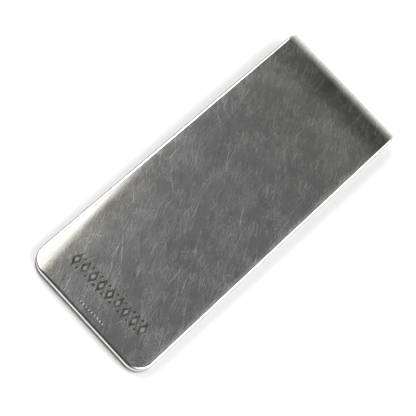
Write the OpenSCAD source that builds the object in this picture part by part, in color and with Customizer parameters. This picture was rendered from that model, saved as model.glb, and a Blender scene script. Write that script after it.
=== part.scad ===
// Money clip: one strip of silver folded over on itself.
// The fold is the spring. The front leaf lifts about the fold to take a
// folded stack of notes, and springs back onto the back leaf.
//
// Frame: X runs along the clip with the fold at +X and the open end at -X,
// Y runs across the strip, Z is up through the leaves. The clip lies on its
// back leaf, and the origin is under the middle of its footprint.

/* [Strip] */
// Overall length of the clip, open end to the outside of the fold
clip_len = 56.5; // [50:0.5:66]
// Width of the strip
strip_w = 23; // [20:0.5:28]
// Thickness of the strip
strip_t = 1.1; // [0.9:0.05:1.2]
// Radius of the two corners at the open end
corner_r = 2.8; // [1.5:0.1:4]
// Bevel left along the outer edges of the strip
edge_bevel = 0.25; // [0.1:0.05:0.35]

/* [Fold] */
// Height of the clip over the fold
fold_h = 3.6; // [3.5:0.05:3.9]
// Inside radius of the nose of the fold
nose_ri = 0.4; // [0.3:0.05:0.5]
// Gap left between the two leaves at the open end
tip_gap = 0.2; // [0.1:0.05:0.3]

/* [Stamped border] */
// Distance from the open end to the middle of the border
border_in = 5.1; // [4:0.1:8]
// Number of lozenges in the border
border_count = 9; // [5:1:11]
// Spacing of the lozenges along the border
border_pitch = 1.7; // [1.5:0.05:1.7]
// Half length of a lozenge, along the clip
lozenge_a = 1.2; // [0.8:0.05:1.3]
// Half width of a lozenge, across the clip
lozenge_b = 0.62; // [0.4:0.02:0.66]
// Depth of the stamping
stamp_depth = 0.15; // [0.08:0.01:0.25]
// Radius of each small punch dot at the open end
dot_r = 0.18; // [0.1:0.02:0.22]
// Number of punch dots
dot_count = 9; // [3:2:15]

/* [Hidden] */

$fn = 96;
silver = [0.62, 0.62, 0.60];
silver_inner = [0.55, 0.55, 0.54];

// Angle at which the tight nose turns into the softer shoulder. A 3-4-5
// triangle keeps the centres of both arcs on exact numbers.
shoulder_angle = atan2(4, 3);
// Outside radius of the nose, which lies on the mid-plane of the fold
nose_r = nose_ri + strip_t;
// Outside radius of the shoulders, which run tangent into the nose and
// reach the full height of the clip
shoulder_r = (fold_h / 2 - nose_r * sin(shoulder_angle)) / (1 - sin(shoulder_angle));
// Centre of the nose, and how far back and down each shoulder's centre is
nose_x = clip_len / 2 - nose_r;
fold_z = fold_h / 2;
back_off = (shoulder_r - nose_r) * cos(shoulder_angle);
down_off = (shoulder_r - nose_r) * sin(shoulder_angle);
// Where the leaves meet the fold
fold_x = nose_x - back_off;
// Length of the back leaf, from the fold to the open end
leaf_len = fold_x + clip_len / 2;
// The front leaf leans down from the fold until the leaves nearly meet
lean = asin((fold_h - 2 * strip_t - tip_gap) / leaf_len);
// Length of the front leaf, so that both open ends are flush
front_len = (leaf_len - shoulder_r * sin(lean)) / cos(lean);

// Cross-section of the strip: x is the height above the inner face, y runs
// across the strip, and the two outer edges are bevelled
module strip_section(base = 0) {
    h = strip_w / 2;
    b = edge_bevel;
    polygon([
        [base, -h], [base + strip_t - b, -h], [base + strip_t, -h + b],
        [base + strip_t, h - b], [base + strip_t - b, h], [base, h]
    ]);
}

// Plan of a leaf: square at the fold, with two rounded corners at the open
// end. It runs from 0 at the fold to -len.
module leaf_plan(len) {
    h = strip_w / 2;
    r = corner_r;
    union() {
        translate([-len + r, -h]) square([len - r, 2 * h]);
        translate([-len, -h + r]) square([r + 0.01, 2 * h - 2 * r]);
        for (s = [-1, 1]) translate([-len + r, s * (h - r)]) circle(r = r);
    }
}

// One flat leaf with its inner face at z = 0 and its bevelled outer face up
module leaf(len) {
    intersection() {
        linear_extrude(height = strip_t + 1) leaf_plan(len);
        rotate([0, -90, 0]) linear_extrude(height = len + 1) strip_section();
    }
}

// A lozenge-shaped stamp, standing in the face
module lozenge(a, b, depth) {
    linear_extrude(height = depth + 1)
        polygon([[-a, 0], [0, -b], [a, 0], [0, b]]);
}

// The border of lozenges and the row of small punch dots at the open end
module stamps(len) {
    translate([-len + border_in, 0, strip_t - stamp_depth]) {
        for (i = [0 : border_count - 1])
            translate([0, (i - (border_count - 1) / 2) * border_pitch, 0])
                lozenge(lozenge_a, lozenge_b, stamp_depth);
    }
    for (i = [0 : dot_count - 1])
        translate([-len + 1.35, (i - (dot_count - 1) / 2) * 0.56, strip_t - stamp_depth / 2])
            cylinder(r = dot_r, h = 1, $fn = 24);
}

// A sector of the fold with its outer face at radius r, from angle a0 to
// a0 + sweep, measured up from +X about a line across the clip
module sector(r, a0, sweep) {
    rotate([90, 0, 0])
        rotate([0, 0, a0])
            rotate_extrude(angle = sweep) strip_section(r - strip_t);
}

// Nose and shoulder of the upper half of the fold
module half_fold(extra) {
    translate([nose_x, 0, 0]) sector(nose_r, 0, shoulder_angle);
    translate([fold_x, 0, -down_off])
        sector(shoulder_r, shoulder_angle, 90 - shoulder_angle + extra);
}

// Upper leaf, which carries the stamped border and lifts to take the notes
module front_leaf() {
    color(silver)
        translate([fold_x, 0, fold_z - down_off])
            rotate([0, -lean, 0])
                translate([0, 0, shoulder_r - strip_t])
                    difference() {
                        leaf(front_len);
                        stamps(front_len);
                    }
}

// Upper half of the fold, from the hinge line up to the front leaf
module fold_upper() {
    color(silver) translate([0, 0, fold_z]) half_fold(lean);
}

// Lower half of the fold, from the hinge line down to the back leaf
module fold_lower() {
    color(silver) translate([0, 0, fold_z]) mirror([0, 0, 1]) half_fold(0);
}

// Lower leaf, with its outer face down on the table
module back_leaf() {
    color(silver_inner)
        translate([fold_x, 0, strip_t])
            mirror([0, 0, 1]) leaf(leaf_len);
}

front_leaf();
fold_upper();
fold_lower();
back_leaf();
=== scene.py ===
import math
import bpy
import numpy as np
from mathutils import Matrix, Vector


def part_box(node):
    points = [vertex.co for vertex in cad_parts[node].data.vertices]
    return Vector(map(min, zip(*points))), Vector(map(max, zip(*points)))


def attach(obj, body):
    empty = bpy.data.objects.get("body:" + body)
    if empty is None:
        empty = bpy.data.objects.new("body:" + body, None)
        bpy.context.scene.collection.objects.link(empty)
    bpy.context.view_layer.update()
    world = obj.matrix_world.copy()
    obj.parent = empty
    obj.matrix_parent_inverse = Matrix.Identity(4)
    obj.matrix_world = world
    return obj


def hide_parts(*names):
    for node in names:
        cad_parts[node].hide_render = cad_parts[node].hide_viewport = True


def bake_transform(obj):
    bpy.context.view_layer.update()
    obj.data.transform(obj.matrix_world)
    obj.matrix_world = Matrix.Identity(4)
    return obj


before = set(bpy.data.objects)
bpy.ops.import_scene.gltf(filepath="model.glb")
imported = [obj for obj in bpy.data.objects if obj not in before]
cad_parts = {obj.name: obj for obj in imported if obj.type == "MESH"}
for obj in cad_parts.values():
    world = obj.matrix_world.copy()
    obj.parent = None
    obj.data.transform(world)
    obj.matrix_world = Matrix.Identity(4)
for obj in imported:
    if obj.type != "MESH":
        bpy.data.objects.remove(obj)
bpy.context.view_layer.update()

MM = 0.001

# ---------------------------------------------------------------------------
# Sizes, read from the CAD frame (millimetres from here on)
# ---------------------------------------------------------------------------
back_lo, back_hi = [np.array(p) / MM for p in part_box("back_leaf")]
front_lo, front_hi = [np.array(p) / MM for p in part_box("front_leaf")]
fold_lo, fold_hi = [np.array(p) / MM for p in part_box("fold_lower")]

T = back_hi[2] - back_lo[2]              # strip thickness
HW = (back_hi[1] - back_lo[1]) / 2       # half width of the strip
FOLD_X = back_hi[0]                      # where the leaves meet the fold
FOLD_Z = fold_hi[2]                      # mid-plane of the fold
# the fold is a tight nose between two softer shoulders that meet it where
# the strip has turned through a 3-4-5 angle
SIN_A, COS_A = 0.8, 0.6
ANG = math.atan2(SIN_A, COS_A)
DIFF = ((fold_hi[0] - FOLD_X) - FOLD_Z) / (COS_A - 1 + SIN_A)
NOSE = FOLD_Z - DIFF * (1 - SIN_A)       # outside radius of the nose
SH = NOSE + DIFF                         # outside radius of the shoulders
NOSE_X = fold_hi[0] - NOSE
UP_Z = FOLD_Z - DIFF * SIN_A             # centre of the upper shoulder
LEAF = back_hi[0] - back_lo[0]           # back leaf, fold to open end
GAP = front_lo[2] - T                    # slot at the open end
LEAN = math.asin((2 * FOLD_Z - 2 * T - GAP) / LEAF)
FRONT = (LEAF - SH * math.sin(LEAN)) / math.cos(LEAN)
# length of the strip round the fold, on its outer face
TURN = SH * (math.pi / 2 - ANG) + NOSE * 2 * ANG + SH * (math.pi / 2 - ANG + LEAN)

RC = 2.8        # corner radius at the open end
FLAT = 2.0      # straight stretch of each leaf that is made with the fold
RO = 0.46       # rounding of the outer edges
RN = 0.16       # rounding of the inner edges


def hash01(*k):
    v = math.sin(sum(a * b for a, b in zip(k, (127.1, 311.7, 74.7, 269.5)))) * 43758.5453
    return v - math.floor(v)


def value_noise(x, y, seed):
    """Smooth value noise on numpy arrays, one unit between lattice points."""
    xi, yi = np.floor(x).astype(int), np.floor(y).astype(int)
    fx, fy = x - xi, y - yi
    fx = fx * fx * fx * (fx * (fx * 6 - 15) + 10)
    fy = fy * fy * fy * (fy * (fy * 6 - 15) + 10)

    def lat(i, j):
        v = np.sin(i * 127.1 + j * 311.7 + seed * 74.7) * 43758.5453
        return v - np.floor(v)
    a, b = lat(xi, yi), lat(xi + 1, yi)
    c, d = lat(xi, yi + 1), lat(xi + 1, yi + 1)
    return (a * (1 - fx) + b * fx) * (1 - fy) + (c * (1 - fx) + d * fx) * fy


def smooth(a, b, x):
    t = np.clip((x - a) / (b - a), 0, 1)
    return t * t * (3 - 2 * t)


# ---------------------------------------------------------------------------
# Stamped border: a row of lozenges and a row of small punch dots
# ---------------------------------------------------------------------------
BORDER_IN, PITCH, COUNT = 5.1, 1.7, 9
LOZ_A, LOZ_B = 1.2, 0.62
DEPTH = 0.15


def stamp(d, y):
    """Depth of the stamping (mm, positive down) at d from the open end, y across,
    and how much dirt it holds (0 to 1). The dirt laps a little over the rim."""
    out = np.zeros_like(d)
    held = np.zeros_like(d)
    for i in range(COUNT):
        yc = (i - (COUNT - 1) / 2) * PITCH
        rho = np.abs(d - BORDER_IN) / LOZ_A + np.abs(y - yc) / LOZ_B
        # distance in from the lozenge's edge, in mm
        dist = (1 - rho) / math.hypot(1 / LOZ_A, 1 / LOZ_B)
        ring = smooth(0.0, 0.12, dist) * (1 - 0.85 * smooth(0.21, 0.33, dist))
        out = np.maximum(out, ring * DEPTH)
        held = np.maximum(held, smooth(-0.09, -0.01, dist) * (1 - 0.60 * smooth(0.26, 0.36, dist)))
        # small tick between neighbouring lozenges
        if i < COUNT - 1:
            ym = yc + PITCH / 2
            for s in (-1, 1):
                dd = np.hypot(d - (BORDER_IN + s * 0.86), y - ym) - 0.17
                out = np.maximum(out, smooth(0.0, 0.10, -dd) * DEPTH * 0.8)
                held = np.maximum(held, smooth(-0.08, -0.01, -dd))
    for i in range(9):
        rr = np.hypot(d - 1.35, y - (i - 4) * 0.56)
        out = np.maximum(out, (1 - smooth(0.09, 0.2, rr)) * 0.10)
        held = np.maximum(held, (1 - smooth(0.16, 0.25, rr)) * 0.8)
    return out, held


def face_form(d, y, length, front=True):
    """How far the worn outer face lies below flat (mm, positive down)."""
    e = smooth(0.0, 6.0, length - d)          # dies out before the fold
    # hand-worn hollow and swell, microns only
    w = (value_noise(d / 7.0 + 3.1, y / 6.0 + 8.3, 5 if front else 9) - 0.5) * 0.016
    w += (value_noise(d / 2.6 + 1.7, y / 2.2 + 4.9, 11 if front else 4) - 0.5) * 0.0032
    # long edges roll over slightly
    a = np.maximum(0, np.abs(y) - (HW - 1.8)) / 1.8
    w += 0.036 * a * a
    m = np.maximum(0, -y - (HW - 1.35)) / 0.89
    w += 0.036 * m * m
    if front:
        # one long edge is dressed down towards the corner of the open end,
        # curving to a steady slope
        band = np.clip(3.5 * (1 - d / 30.0), 0.0001, 9)
        b = np.maximum(0, y - (HW - band))
        turn = 0.072 / (2 * 0.03)
        w += np.where(b < turn, 0.03 * b * b, 0.03 * turn * turn + 0.072 * (b - turn))
        c = np.maximum(0, (3.4 - np.hypot(np.maximum(0, 3.4 - d), np.maximum(0, y - (HW - 3.4)))) * -1)
        w += 0.04 * c * c
        # open end rolls over a little
        f = np.maximum(0, 1.2 - d)
        w += 0.01 * f * f
    return np.maximum(0.0, w + 0.010) * e


# ---------------------------------------------------------------------------
# Leaf mesh
# ---------------------------------------------------------------------------
def spaced(a, b, step):
    n = max(1, int(math.ceil(abs(b - a) / step)))
    return [a + (b - a) * i / n for i in range(n + 1)]


def union_sorted(*lists):
    pts = sorted(set(round(v, 5) for l in lists for v in l))
    out = [pts[0]]
    for p in pts[1:]:
        if p - out[-1] > 0.012:
            out.append(p)
        elif p in (pts[-1],):
            out[-1] = p
    return out


def build_leaf(name, length, front):
    """A leaf from its open end (d = 0) to where the fold piece begins (d = length).
    h is height over the outer face; the outer face looks to +h."""
    q0 = RO + 0.04
    fine = 0.055 if front else 0.6
    # columns, as distances from the open end
    corner = [RC - (RC - q0) * math.sin(math.radians(a)) for a in np.linspace(90, 0, 25)]
    if front:
        ds = union_sorted(corner, spaced(1.02, 1.68, 0.06), spaced(RC, BORDER_IN - 1.35, 0.3),
                          spaced(BORDER_IN - 1.35, BORDER_IN + 1.35, fine),
                          spaced(BORDER_IN + 1.35, length, 0.5))
    else:
        ds = union_sorted(corner, spaced(RC, length, 0.6))
    ds = ds[::-1]                                    # seam first
    ds[0] = length
    nc = len(ds)
    g = HW - q0
    if front:
        ys = union_sorted(spaced(0, 7.7, fine), spaced(7.7, 8.6, 0.15), spaced(8.6, g, 0.12))
    else:
        ys = union_sorted(spaced(0, g - 1.6, 0.6), spaced(g - 1.6, g, 0.16))
    ys = [-v for v in ys[::-1] if v > 0] + ys
    ys[0], ys[-1] = -g, g
    eta = np.array(ys[::-1]) / g                     # +Y side first
    nr = len(eta)

    phi = [None if d >= RC else math.asin(min(1, (RC - d) / (RC - q0))) for d in ds]
    phi[-1] = math.pi / 2

    verts, strip, wear, pit = [], [], [], []

    # outer face grid
    D = np.zeros((nc, nr)); Y = np.zeros((nc, nr))
    for i, d in enumerate(ds):
        if phi[i] is None:
            D[i], Y[i] = d, eta * g
        else:
            D[i] = RC - (RC - q0) * math.sin(phi[i])
            Y[i] = eta * ((HW - RC) + (RC - q0) * math.cos(phi[i]))
    form = face_form(D, Y, length, front)
    st, held = stamp(D, Y) if front else (np.zeros_like(D), np.zeros_like(D))
    H = -form - st
    for i in range(nc):
        for j in range(nr):
            verts.append((D[i, j], Y[i, j], H[i, j]))
            strip.append((D[i, j], Y[i, j], 0.0))
            wear.append(0.0)
            pit.append(held[i, j])
    idx = lambda i, j: i * nr + j
    faces = [(idx(i, j), idx(i + 1, j), idx(i + 1, j + 1), idx(i, j + 1))
             for i in range(nc - 1) for j in range(nr - 1)]

    # stations round the edge, seam to seam
    stations = [(i, 0, 1) for i in range(nc)] + [(nc - 1, j, 0) for j in range(1, nr - 1)] + \
               [(i, nr - 1, -1) for i in range(nc - 1, -1, -1)]

    def ring_point(s, q):
        i, j, side = s
        if side == 0:
            return q, eta[j] * (HW - RC)
        if phi[i] is None:
            return ds[i], side * (HW - q)
        return RC - (RC - q) * math.sin(phi[i]), side * ((HW - RC) + (RC - q) * math.cos(phi[i]))

    prev = [idx(i, j) for i, j, _ in stations]
    drop = [-H[i, j] for i, j, _ in stations]         # keep the worn form round the edge
    prof = []
    n_o = 9
    # painted shade: how strongly each step round the outer rounding is darkened, rising from about 28 to 52
    # degrees of turn, with a ridge near 50 degrees
    steep = []
    for k in range(0, n_o + 1):
        a = math.pi / 2 * k / n_o
        prof.append((RO * (1 - math.sin(a)), -RO * (1 - math.cos(a)), RO * a))
        steep.append((float(smooth(28.0, 52.0, math.degrees(a))), math.exp(-((math.degrees(a) - 50) / 12) ** 2)))
    wall_end = -(T - RN)
    for f_ in (0.5, 1.0):
        h = -RO + (wall_end + RO) * f_
        prof.append((0.0, h, RO * math.pi / 2 + (-RO - h)))
    base = RO * math.pi / 2 + (T - RN - RO)
    n_i = 4
    for k in range(1, n_i + 1):
        a = math.pi / 2 * k / n_i
        prof.append((RN * (1 - math.cos(a)), -(T - RN) - RN * math.sin(a), base + RN * a))
    prof.append((RN + 0.06, -T, base + RN * math.pi / 2 + 0.06))
    steep += [(1.0, 0.0)] * (len(prof) - len(steep))
    # painted shade: a dark tint on the steep part of the rounding and on the walls, standing in for the shaded
    # floor and slot that they reflect
    wall_shade_mask = [0.0] * len(verts)
    rings = [prev]
    for (q, h, arc), (stp, ridge) in zip(prof, steep):
        row = []
        fade = max(0.0, 1 + h / (T * 0.6))
        for s, z0 in zip(stations, drop):
            d, y = ring_point(s, q)
            row.append(len(verts))
            verts.append((d, y, h - z0 * fade))
            if s[2] == 0:
                strip.append((-arc, y, 0.0))
            else:
                strip.append((d, s[2] * (HW - RO + arc), 0.0))
            w = 1.0 if h > -T * 0.8 and q < RO * 0.75 else (0.35 if q >= RO * 0.75 and h > -0.2 else 0.5)
            wear.append(w)
            pit.append(0.0)
            along = 0.0 if s[2] == 0 else (1.0 if phi[s[0]] is None else math.cos(phi[s[0]]))
            # painted shade: full on the +Y side, 0.42 on the -Y side; round the open end a lighter mix on the
            # front leaf, full on the back leaf
            if front:
                wall_shade_mask.append(stp * (1.0 if s[2] > 0 else 0.42) * along + (ridge * 0.45 + stp * 0.22) * (1 - along))
            else:
                wall_shade_mask.append(stp * (1.0 if s[2] > 0 else 0.42) * along + max(stp, ridge) * (1 - along))
        rings.append(row)
    for a, b in zip(rings, rings[1:]):
        for k in range(len(a) - 1):
            faces.append((a[k], b[k], b[k + 1], a[k + 1]))
    # inner face, one flat polygon inside the last ring
    faces.append(tuple(rings[-1][::1]))
    # cap where the leaf joins the fold
    cap = [idx(0, j) for j in range(nr)] + [r[-1] for r in rings[1:]] + [r[0] for r in rings[1:]][::-1]
    faces.append(tuple(cap[::-1]))
    return (np.array(verts), faces, np.array(strip), np.array(wear), np.array(pit), np.array(wall_shade_mask), set(cap))


def make_object(name, verts, faces, strip, wear, pit, wall_shade_mask, cap, place):
    me = bpy.data.meshes.new(name)
    me.from_pydata([tuple(v) for v in place(verts) * MM], [], faces)
    me.validate(clean_customdata=False)
    me.update()
    a = me.attributes.new("strip_co", "FLOAT_VECTOR", "POINT")
    a.data.foreach_set("vector", (strip * 0.001).astype(np.float32).ravel())
    a = me.attributes.new("edge_wear", "FLOAT", "POINT")
    a.data.foreach_set("value", wear.astype(np.float32))
    a = me.attributes.new("recess", "FLOAT", "POINT")
    a.data.foreach_set("value", pit.astype(np.float32))
    # painted shade mask for the steep rounding and the walls
    a = me.attributes.new("painted_wall_shade", "FLOAT", "POINT")
    a.data.foreach_set("value", wall_shade_mask.astype(np.float32))
    me.polygons.foreach_set("use_smooth", [True] * len(me.polygons))
    caps = [c for c in cap]
    for p in me.polygons:
        vs = set(p.vertices)
        if any(len(vs - c) == 0 for c in caps):
            for li in p.loop_indices:
                me.edges[me.loops[li].edge_index].use_edge_sharp = True
    import bmesh
    bm = bmesh.new(); bm.from_mesh(me)
    bmesh.ops.recalc_face_normals(bm, faces=bm.faces)
    bm.to_mesh(me); bm.free()
    me.update()
    ob = bpy.data.objects.new(name, me)
    bpy.context.collection.objects.link(ob)
    return ob


# front leaf: hinge side at the fold, leaning down to the open end
def place_front(v):
    d, y, h = v[:, 0], v[:, 1], v[:, 2]
    u = FRONT - d
    x, z = -u, SH + h
    return np.stack([FOLD_X + x * math.cos(LEAN) - z * math.sin(LEAN), y,
                     UP_Z + x * math.sin(LEAN) + z * math.cos(LEAN)], 1)


def place_back(v):
    d, y, h = v[:, 0], v[:, 1], v[:, 2]
    return np.stack([back_lo[0] + d, y, -h], 1)


vf = build_leaf("front", FRONT - FLAT, True)
front_leaf = make_object("front_leaf_silver", *vf[:6], [vf[6]], place_front)
vb = build_leaf("back", LEAF - FLAT, False)
back_leaf = make_object("back_leaf_silver", *vb[:6], [vb[6]], place_back)


# ---------------------------------------------------------------------------
# Spring fold: the strip's own section carried round the bend
# ---------------------------------------------------------------------------
def build_fold():
    q0 = RO + 0.04
    sec = []                                          # (y, h, arc across, wear)
    for y in np.linspace(HW - q0, -(HW - q0), 33):
        sec.append((y, 0.0, y, 0.0))
    side = []
    n_o = 9
    for k in range(0, n_o + 1):
        a = math.pi / 2 * k / n_o
        side.append((RO * (1 - math.sin(a)), -RO * (1 - math.cos(a)), RO * a))
    for f_ in (0.5, 1.0):
        h = -RO + (-(T - RN) + RO) * f_
        side.append((0.0, h, RO * math.pi / 2 + (-RO - h)))
    base = RO * math.pi / 2 + (T - RN - RO)
    for k in range(1, 5):
        a = math.pi / 2 * k / 4
        side.append((RN * (1 - math.cos(a)), -(T - RN) - RN * math.sin(a), base + RN * a))
    side.append((RN + 0.06, -T, base + RN * math.pi / 2 + 0.06))
    wr = lambda q, h: 1.0 if h > -T * 0.8 and q < RO * 0.75 else (0.35 if h > -0.2 else 0.5)
    for q, h, arc in side:
        sec.append((-(HW - q), h, -(HW - RO + arc), wr(q, h)))
    for y in np.linspace(-(HW - RN - 0.06), HW - RN - 0.06, 9)[1:-1]:
        sec.append((y, -T, y + 60, 0.5))
    for q, h, arc in side[::-1]:
        sec.append((HW - q, h, HW - RO + arc, wr(q, h)))
    n = len(sec)
    # stations along the strip: centre of the bend, angle, outside radius
    path = []
    run = -FLAT
    for k in range(4):
        path.append(("flat", FOLD_X - FLAT + k * FLAT / 4.0, 0.0, -FLAT + k * FLAT / 4.0))
    run = 0.0
    for cx, cz, rad, a0, a1, n_a in (
            (FOLD_X, SH, SH, -math.pi / 2, -ANG, 18),
            (NOSE_X, FOLD_Z, NOSE, -ANG, ANG, 40),
            (FOLD_X, UP_Z, SH, ANG, math.pi / 2 + LEAN, 22)):
        first = 0 if not path or path[-1][0] == "flat" else 1
        for k in range(first, n_a + 1):
            a = a0 + (a1 - a0) * k / n_a
            path.append(("arc", (cx, cz, rad), a, run + rad * (a - a0)))
        run += rad * (a1 - a0)
    for k in range(1, 5):
        path.append(("lean", k * FLAT / 4.0, 0.0, run + k * FLAT / 4.0))
    verts, strip, wear = [], [], []
    for kind, where, a, dist in path:
        for (y, h, arc, w) in sec:
            if kind == "arc":
                cx, cz, rad = where
                x = cx + (rad + h) * math.cos(a)
                z = cz + (rad + h) * math.sin(a)
            elif kind == "lean":
                xx, zz = -where, SH + h
                x = FOLD_X + xx * math.cos(LEAN) - zz * math.sin(LEAN)
                z = UP_Z + xx * math.sin(LEAN) + zz * math.cos(LEAN)
            else:
                x, z = where, -h
            verts.append((x, y, z))
            # the developed strip counts from the open end of the front leaf
            strip.append((FRONT + TURN - dist, arc, 0.0))
            wear.append(w)
    faces = []
    for i in range(len(path) - 1):
        for k in range(n):
            a, b = i * n + k, i * n + (k + 1) % n
            faces.append((a, b, b + n, a + n))
    cap0 = list(range(n))
    cap1 = [(len(path) - 1) * n + k for k in range(n)]
    faces.append(tuple(cap0[::-1]))
    faces.append(tuple(cap1))
    q_all = np.array([sc[1] for sc in sec])
    # painted shade on the fold's flanks past about 34 degrees of rounding, weaker on the -Y side
    turned = RO * (1 - math.cos(math.radians(34)))
    flank = np.clip((-q_all - turned) / (RO * 0.3), 0, 1) * np.array([1.0 if sc[0] > 0 else 0.42 for sc in sec])
    return (np.array(verts), faces, np.array(strip), np.array(wear), np.zeros(len(verts)),
            np.tile(flank, len(path)), [set(cap0), set(cap1)])


ff = build_fold()
fold = make_object("spring_fold_silver", *ff[:6], ff[6], lambda v: v)

# the strip co-ordinate of the back leaf carries on round from the fold
for o, f in ((back_leaf, lambda d: FRONT + TURN + LEAF - d),):
    at = o.data.attributes["strip_co"]
    buf = np.zeros(len(o.data.vertices) * 3, np.float32)
    at.data.foreach_get("vector", buf)
    buf = buf.reshape(-1, 3)
    buf[:, 0] = f(buf[:, 0] / MM) * MM
    at.data.foreach_set("vector", buf.ravel())

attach(front_leaf, "front")
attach(back_leaf, "back")
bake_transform(fold)
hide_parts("front_leaf")
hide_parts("back_leaf")
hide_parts("fold_upper", "fold_lower")


# ---------------------------------------------------------------------------
# Materials
# ---------------------------------------------------------------------------
class Nodes:
    def __init__(self, tree):
        self.t = tree
        self.n = 0

    def add(self, kind, **props):
        nd = self.t.nodes.new(kind)
        nd.location = (-220 * (self.n % 12), -160 * (self.n // 12))
        self.n += 1
        for k, v in props.items():
            setattr(nd, k, v)
        return nd

    def link(self, a, b):
        self.t.links.new(a, b)

    def put(self, sock, v):
        if isinstance(v, bpy.types.NodeSocket):
            self.link(v, sock)
        elif v is not None:
            sock.default_value = v

    def math(self, op, a, b=None, c=None, clamp=False):
        nd = self.add("ShaderNodeMath", operation=op, use_clamp=clamp)
        for s, v in zip(nd.inputs, (a, b, c)):
            self.put(s, v)
        return nd.outputs[0]

    def vmath(self, op, a, b=None, scale=None):
        nd = self.add("ShaderNodeVectorMath", operation=op)
        self.put(nd.inputs[0], a)
        if b is not None:
            self.put(nd.inputs[1], b)
        if scale is not None:
            self.put(nd.inputs["Scale"], scale)
        return nd.outputs["Value"] if op in ("DOT_PRODUCT", "LENGTH", "DISTANCE") else nd.outputs[0]

    def ramp(self, v, lo, hi, a=0.0, b=1.0, kind="SMOOTHSTEP"):
        nd = self.add("ShaderNodeMapRange", interpolation_type=kind, clamp=True) if kind != "SMOOTHSTEP" else \
            self.add("ShaderNodeMapRange", interpolation_type=kind)
        self.put(nd.inputs[0], v)
        nd.inputs[1].default_value, nd.inputs[2].default_value = lo, hi
        nd.inputs[3].default_value, nd.inputs[4].default_value = a, b
        return nd.outputs[0]

    def noise(self, vec, scale, detail=4.0, rough=0.55, dist=0.0, dims="3D"):
        nd = self.add("ShaderNodeTexNoise", noise_dimensions=dims)
        self.put(nd.inputs["Vector"], vec)
        nd.inputs["Scale"].default_value = scale
        nd.inputs["Detail"].default_value = detail
        nd.inputs["Roughness"].default_value = rough
        nd.inputs["Distortion"].default_value = dist
        return nd.outputs["Fac"]

    def mapping(self, vec, rot=0.0, scale=(1, 1, 1), loc=(0, 0, 0)):
        nd = self.add("ShaderNodeMapping", vector_type="POINT")
        self.put(nd.inputs["Vector"], vec)
        nd.inputs["Rotation"].default_value = (0, 0, rot)
        nd.inputs["Scale"].default_value = scale
        nd.inputs["Location"].default_value = loc
        return nd.outputs[0]

    def mix(self, f, a, b, blend="MIX"):
        nd = self.add("ShaderNodeMix", data_type="RGBA", blend_type=blend)
        self.put(nd.inputs[0], f)
        self.put(nd.inputs[6], a)
        self.put(nd.inputs[7], b)
        return nd.outputs[2]


def cell_scratches(N, vec, cell, width, angle, spread, seed, keep):
    """Short straight scratches, one in some of the cells of a Voronoi pattern."""
    v = N.mapping(vec, loc=(seed * 3.71, seed * 1.93, 0))
    vo = N.add("ShaderNodeTexVoronoi", voronoi_dimensions="2D", feature="F1")
    N.put(vo.inputs["Vector"], v)
    vo.inputs["Scale"].default_value = 1.0 / cell
    vo.inputs["Randomness"].default_value = 1.0
    pos = N.vmath("SCALE", vo.outputs["Position"], scale=1.0)
    local = N.vmath("SUBTRACT", v, pos)
    sep = N.add("ShaderNodeSeparateColor")
    N.put(sep.inputs[0], vo.outputs["Color"])
    r1, r2, r3 = sep.outputs[0], sep.outputs[1], sep.outputs[2]
    ang = N.math("MULTIPLY_ADD", N.math("SUBTRACT", r1, 0.5), 2 * spread, angle)
    ca, sa = N.math("COSINE", ang), N.math("SINE", ang)
    s = N.add("ShaderNodeSeparateXYZ")
    N.put(s.inputs[0], local)
    along = N.math("ADD", N.math("MULTIPLY", s.outputs[0], ca), N.math("MULTIPLY", s.outputs[1], sa))
    across = N.math("ABSOLUTE", N.math("SUBTRACT", N.math("MULTIPLY", s.outputs[1], ca), N.math("MULTIPLY", s.outputs[0], sa)))
    line = N.ramp(across, width * 0.2, width, 1.0, 0.0)
    ends = N.ramp(N.math("ABSOLUTE", along), cell * 0.15, cell * 0.55, 1.0, 0.0)
    on = N.ramp(r2, 1 - keep, 1 - keep + 0.02, 0.0, 1.0)
    amp = N.math("MULTIPLY_ADD", r3, 0.7, 0.3)
    return N.math("MULTIPLY", N.math("MULTIPLY", line, ends), N.math("MULTIPLY", on, amp))


def hairlines(N, vec, angle, fine, stretch, lo, hi, seed):
    """Long hairlines in one direction: noise drawn out along the scratch."""
    v = N.mapping(vec, rot=-angle)
    v = N.mapping(v, scale=(fine / stretch, fine, 1.0), loc=(seed * 7.3, seed * 5.1, seed))
    n = N.noise(v, 1.0, detail=2.0, rough=0.6)
    return N.ramp(n, lo, hi, 0.0, 1.0)


def segment(N, vec, a, b, width):
    """One scratch from a to b, in the strip's own co-ordinates (mm)."""
    ax, ay = a[0] * MM, a[1] * MM
    bx, by = b[0] * MM, b[1] * MM
    L = math.hypot(bx - ax, by - ay)
    ux, uy = (bx - ax) / L, (by - ay) / L
    p = N.vmath("SUBTRACT", vec, (ax, ay, 0))
    t = N.vmath("DOT_PRODUCT", p, (ux, uy, 0))
    w = N.math("ABSOLUTE", N.vmath("DOT_PRODUCT", p, (-uy, ux, 0)))
    f = N.math("MULTIPLY", N.ramp(t, 0.0, L * 0.25, 0.0, 1.0), N.ramp(t, L * 0.7, L, 1.0, 0.0))
    return N.math("MULTIPLY", N.ramp(w, width * 0.25 * MM, width * MM, 1.0, 0.0), f)


BOLD = [
    ((37.6, -7.6), (39.8, -4.6), 0.10), ((38.6, -6.0), (37.0, -3.9), 0.09),
    ((16.5, -1.8), (19.6, -4.2), 0.09), ((18.6, -8.6), (20.6, -9.9), 0.10),
    ((45.6, 1.2), (46.6, 3.4), 0.08), ((22.4, 4.6), (24.2, 7.6), 0.08),
    ((9.2, 2.2), (11.6, 4.2), 0.08), ((30.2, 2.0), (33.4, 3.6), 0.07),
    ((26.0, -5.6), (29.8, -3.0), 0.08), ((48.5, -4.0), (50.5, -1.2), 0.08),
    ((12.4, -7.0), (15.8, -5.2), 0.08), ((8.6, 8.8), (10.6, 6.4), 0.08),
]


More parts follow.
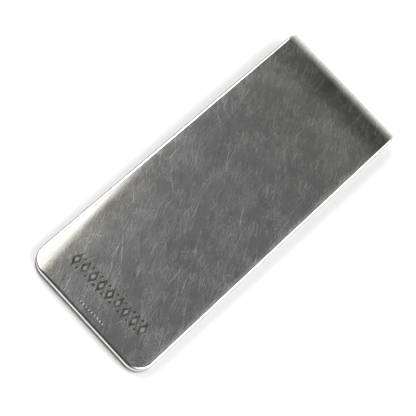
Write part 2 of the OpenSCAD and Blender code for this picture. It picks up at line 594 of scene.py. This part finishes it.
def silver(name, warm, dark, painted_wall_shade, bold=True, rough=0.215):
    m = bpy.data.materials.new(name)
    m.use_nodes = True
    m.node_tree.nodes.clear()
    N = Nodes(m.node_tree)
    out = N.add("ShaderNodeOutputMaterial")
    p = N.add("ShaderNodeBsdfPrincipled")
    N.link(p.outputs[0], out.inputs[0])
    co = N.add("ShaderNodeAttribute", attribute_name="strip_co").outputs["Vector"]
    wear = N.add("ShaderNodeAttribute", attribute_name="edge_wear").outputs["Fac"]
    pit = N.add("ShaderNodeAttribute", attribute_name="recess").outputs["Fac"]

    # painted shade mask: the steep rounding and the walls
    wall_shade_mask = N.add("ShaderNodeAttribute", attribute_name="painted_wall_shade").outputs["Fac"]

    A = math.radians(24)
    # hairlines in many directions, most of them near A
    lines = None
    for ang, fine, stretch, lo, hi, seed, amp in (
            (A, 20000, 70, 0.55, 0.68, 1, 1.00), (A + 0.25, 18000, 54, 0.56, 0.69, 2, 0.95),
            (A - 0.30, 19000, 60, 0.57, 0.70, 3, 0.95), (A + 0.65, 17000, 46, 0.58, 0.71, 4, 0.90),
            (A - 0.80, 17000, 42, 0.58, 0.71, 5, 0.85), (A + 1.25, 16000, 38, 0.59, 0.72, 6, 0.80),
            (A + 1.85, 17000, 34, 0.60, 0.73, 7, 0.75)):
        h = N.math("MULTIPLY", hairlines(N, co, ang, fine, stretch, lo, hi, seed), amp)
        lines = h if lines is None else N.math("MAXIMUM", lines, h)
    dens = N.noise(N.mapping(co, loc=(0.7, 0.4, 0.9)), 260, detail=3.0, rough=0.6)
    fine = N.math("MULTIPLY", lines, N.ramp(dens, 0.30, 0.70, 0.45, 1.0))
    scr = None
    for cell, width, ang, spread, seed, keep, amp in (
            (0.0044, 0.000066, A, 0.45, 1, 0.60, 0.46), (0.0068, 0.000072, A + 0.35, 0.9, 2, 0.50, 0.44),
            (0.0030, 0.000060, A - 0.30, 0.8, 3, 0.60, 0.42), (0.0036, 0.000062, A + 1.2, 1.3, 4, 0.55, 0.40),
            (0.0022, 0.000052, A + 0.1, 1.5, 5, 0.60, 0.36)):
        c = N.math("MULTIPLY", cell_scratches(N, co, cell, width, ang, spread, seed, keep), amp)
        scr = c if scr is None else N.math("MAXIMUM", scr, c)
    big = None
    if bold:
        for a, b, w in BOLD:
            g = segment(N, co, a, b, w)
            big = g if big is None else N.math("MAXIMUM", big, g)
    allscr = N.math("MAXIMUM", scr, N.math("MULTIPLY", big, 0.50)) if big is not None else scr

    # patina: broad cloudy patches and finer mottling
    cloud = N.noise(co, 160, detail=5.0, rough=0.6, dist=0.4)
    mott = N.noise(N.mapping(co, loc=(0.3, 0.2, 0.1)), 900, detail=5.0, rough=0.65)
    smear = N.noise(N.mapping(N.mapping(co, rot=-A), scale=(220, 900, 1)), 1.0, detail=4.0, rough=0.6)
    sepc = N.add("ShaderNodeSeparateXYZ")
    N.put(sepc.inputs[0], co)
    # darker and warmer towards the fold
    fold_f = N.ramp(sepc.outputs[0], 0.028, 0.0535, 0.0, 1.0)

    tone = N.math("ADD", N.math("MULTIPLY", cloud, 0.5), N.math("ADD", N.math("MULTIPLY", mott, 0.25), N.math("MULTIPLY", smear, 0.25)))
    tone = N.ramp(tone, 0.28, 0.72, 0.0, 1.0, kind="LINEAR")
    clean = (0.765, 0.765, 0.765, 1)
    dull = (0.475, 0.472, 0.458, 1)
    base = N.mix(tone, dull, clean)
    base = N.mix(N.math("MULTIPLY", fold_f, 0.42), base, warm)
    # painted shade: a dark band across the strip just before the bend, standing in for a dark reflection there,
    # half as strong towards the -Y edge
    painted_bend_shade = N.math("MULTIPLY", N.ramp(sepc.outputs[0], 0.0490, 0.0528, 0.0, 1.0), N.ramp(sepc.outputs[0], 0.0548, 0.0570, 1.0, 0.0))
    painted_bend_shade = N.math("MULTIPLY", painted_bend_shade, N.ramp(sepc.outputs[1], 0.002, 0.011, 1.0, 0.50))
    base = N.mix(N.math("MULTIPLY", painted_bend_shade, 0.86), base, (0.18, 0.176, 0.145, 1))
    # painted highlight: a lighter cream tint laid where the bright band of reflected light falls near the corner
    painted_corner_highlight = N.math("MULTIPLY", N.ramp(sepc.outputs[1], 0.0050, 0.0098, 0.0, 1.0), N.ramp(sepc.outputs[0], 0.010, 0.034, 1.0, 0.0))
    base = N.mix(N.math("MULTIPLY", painted_corner_highlight, 0.55), base, (0.86, 0.80, 0.64, 1))
    hue = N.noise(N.mapping(co, loc=(1.3, 2.2, 0.7)), 420, detail=3.0, rough=0.6)
    base = N.mix(N.ramp(hue, 0.30, 0.70, 0.0, 0.26), base, (0.50, 0.54, 0.62, 1))
    base = N.mix(N.math("MULTIPLY", allscr, 0.85), base, (0.95, 0.95, 0.93, 1))
    base = N.mix(N.math("MULTIPLY", fine, 0.15), base, (0.95, 0.95, 0.94, 1))
    speck = N.noise(N.mapping(co, loc=(0.9, 0.1, 0.6)), 4200, detail=3.0, rough=0.7)
    base = N.mix(N.ramp(speck, 0.36, 0.60, 0.26, 0.0), base, (0.36, 0.355, 0.34, 1))
    base = N.mix(N.math("MULTIPLY", wear, 0.75), base, (0.93, 0.93, 0.92, 1))
    # painted shade: the steep rounding and the walls are pulled towards a near-black tint
    base = N.mix(N.math("MULTIPLY", wall_shade_mask, 0.90), base, painted_wall_shade)
    dirt = N.math("MULTIPLY", N.ramp(pit, 0.05, 0.75, 0.0, 1.0), N.ramp(mott, 0.30, 0.6, 0.82, 1.0))
    base = N.mix(dirt, base, dark)
    N.put(p.inputs["Base Color"], base)
    p.inputs["Metallic"].default_value = 1.0

    r = N.math("ADD", rough, N.math("MULTIPLY", N.math("SUBTRACT", tone, 0.5), -0.10))
    r = N.math("ADD", r, N.math("MULTIPLY", N.math("MAXIMUM", N.math("MULTIPLY", fine, 0.72), N.math("MULTIPLY", allscr, 0.75)), 0.15))
    r = N.math("MULTIPLY_ADD", wear, -0.10, r)
    r = N.math("MULTIPLY_ADD", dirt, 0.24, r, clamp=True)
    N.put(p.inputs["Roughness"], r)

    grain = N.noise(co, 9000, detail=3.0, rough=0.6)
    hgt = N.math("MULTIPLY", fine, -0.18)
    hgt = N.math("ADD", hgt, N.math("MULTIPLY", allscr, -1.3))
    hgt = N.math("ADD", hgt, N.math("MULTIPLY", grain, 0.25))
    hgt = N.math("ADD", hgt, N.math("MULTIPLY", smear, 0.6))
    bump = N.add("ShaderNodeBump")
    bump.inputs["Strength"].default_value = 1.0
    bump.inputs["Distance"].default_value = 0.000006
    N.put(bump.inputs["Height"], hgt)
    N.link(bump.outputs[0], p.inputs["Normal"])
    m.diffuse_color = (0.6, 0.6, 0.58, 1)
    return m


# the last colour of each is the painted shade for the steep rounding and the walls
front_mat = silver("worn_silver_front", warm=(0.60, 0.585, 0.46, 1), dark=(0.055, 0.048, 0.038, 1), painted_wall_shade=(0.12, 0.112, 0.096, 1))
back_mat = silver("worn_silver_back", warm=(0.56, 0.54, 0.50, 1), dark=(0.10, 0.09, 0.07, 1), painted_wall_shade=(0.095, 0.089, 0.076, 1), bold=False, rough=0.225)
for o, m in ((front_leaf, front_mat), (fold, front_mat), (back_leaf, back_mat)):
    o.data.materials.append(m)


# ---------------------------------------------------------------------------
# Floor, light and camera
# ---------------------------------------------------------------------------
me = bpy.data.meshes.new("floor")
S = 3.0
me.from_pydata([(-S, -S, 0), (S, -S, 0), (S, S, 0), (-S, S, 0)], [], [(0, 1, 2, 3)])
floor = bpy.data.objects.new("floor", me)
bpy.context.collection.objects.link(floor)
fm = bpy.data.materials.new("floor_paper")
fm.use_nodes = True
b = fm.node_tree.nodes["Principled BSDF"]
b.inputs["Base Color"].default_value = (0.94, 0.94, 0.935, 1)
b.inputs["Roughness"].default_value = 0.9
b.inputs["Specular IOR Level"].default_value = 0.1
me.materials.append(fm)

world = bpy.data.worlds.new("studio")
bpy.context.scene.world = world
world.use_nodes = True
world.node_tree.nodes.clear()
N = Nodes(world.node_tree)
wo = N.add("ShaderNodeOutputWorld")
bg = N.add("ShaderNodeBackground")
N.link(bg.outputs[0], wo.inputs[0])
dirv = N.vmath("NORMALIZE", N.add("ShaderNodeTexCoord").outputs["Generated"])
sx = N.add("ShaderNodeSeparateXYZ"); N.put(sx.inputs[0], dirv)
dx, dy, dz = sx.outputs[0], sx.outputs[1], sx.outputs[2]
# a big softbox on +Y, nearer overhead towards the open end
lean_p = N.math("MAXIMUM", N.math("SUBTRACT", dx, 0.27), 0.0)
side_p = N.ramp(N.math("SUBTRACT", dy, N.math("MULTIPLY", lean_p, 1.4)), 0.155, 0.43, 0.0, 1.0)
# both sides dim towards the horizon, so flanks and low views read grey
low = N.ramp(dz, 0.22, 0.56, 0.10, 1.0)
side_p = N.math("MULTIPLY", side_p, low)
side_m = N.math("MULTIPLY", N.ramp(dy, -0.18, -0.46, 0.0, 1.0), low)
gate = N.ramp(dx, -0.75, -0.05, 0.06, 1.0)
hor = N.math("MULTIPLY", N.ramp(dz, 0.84, 0.0, 0.0, 0.47, kind="LINEAR"), N.math("MULTIPLY", N.ramp(dx, 0.10, 0.45, 0.0, 1.0), N.ramp(N.math("ABSOLUTE", dy), 0.28, 0.60, 1.0, 0.24)))
bright = N.math("MAXIMUM", N.math("MULTIPLY", N.math("MAXIMUM", side_p, side_m), gate), hor)
darkspot = N.ramp(N.vmath("DOT_PRODUCT", dirv, (math.sin(0.62), 0.0, math.cos(0.62))), 0.86, 0.985, 0.0, 1.0)
ceil = N.math("MULTIPLY_ADD", darkspot, 0.025, 0.065)
lum = N.math("ADD", N.math("MULTIPLY", bright, 3.5), N.math("MULTIPLY", N.math("SUBTRACT", 1.0, bright), ceil))
bgc = N.add("ShaderNodeCombineColor")
for i_ in range(3):
    N.put(bgc.inputs[i_], lum)
lp = N.add("ShaderNodeLightPath")
N.put(bg.inputs[0], N.mix(lp.outputs["Is Camera Ray"], bgc.outputs[0], (1.0, 1.0, 1.0, 1)))
bg.inputs[1].default_value = 1.0


def area(name, loc, target, size, power, color=(1, 1, 1), shape="SQUARE", size_y=None):
    l = bpy.data.lights.new(name, "AREA")
    l.shape = "RECTANGLE" if size_y else shape
    l.size = size
    if size_y:
        l.size_y = size_y
    l.energy = power
    l.color = color
    o = bpy.data.objects.new(name, l)
    o.location = loc
    o.rotation_euler = (Vector(target) - Vector(loc)).to_track_quat("-Z", "Y").to_euler()
    bpy.context.collection.objects.link(o)
    return o


area("key_softbox", (0.10, 0.44, 0.46), (0, 0, 0), 0.34, 0.9)

cam = bpy.data.cameras.new("camera")
cam.sensor_width = 36.0
cam.lens = 101.25
cam.clip_start = 0.01
co = bpy.data.objects.new("camera", cam)
bpy.context.collection.objects.link(co)
Xb = Vector((0.692216, -0.682361, 0.234990))
Yb = Vector((0.615057, 0.728129, 0.302543))
Zb = Vector((-0.377547, -0.064893, 0.923714))
Mr = Matrix((Xb, Yb, Zb)).transposed().to_4x4()
co.matrix_world = Matrix.Translation(Vector((-68.398, -11.306, 161.864)) * MM) @ Mr
bpy.context.scene.camera = co
bpy.context.scene.view_settings.view_transform = "Standard"
bpy.context.scene.view_settings.look = "None"
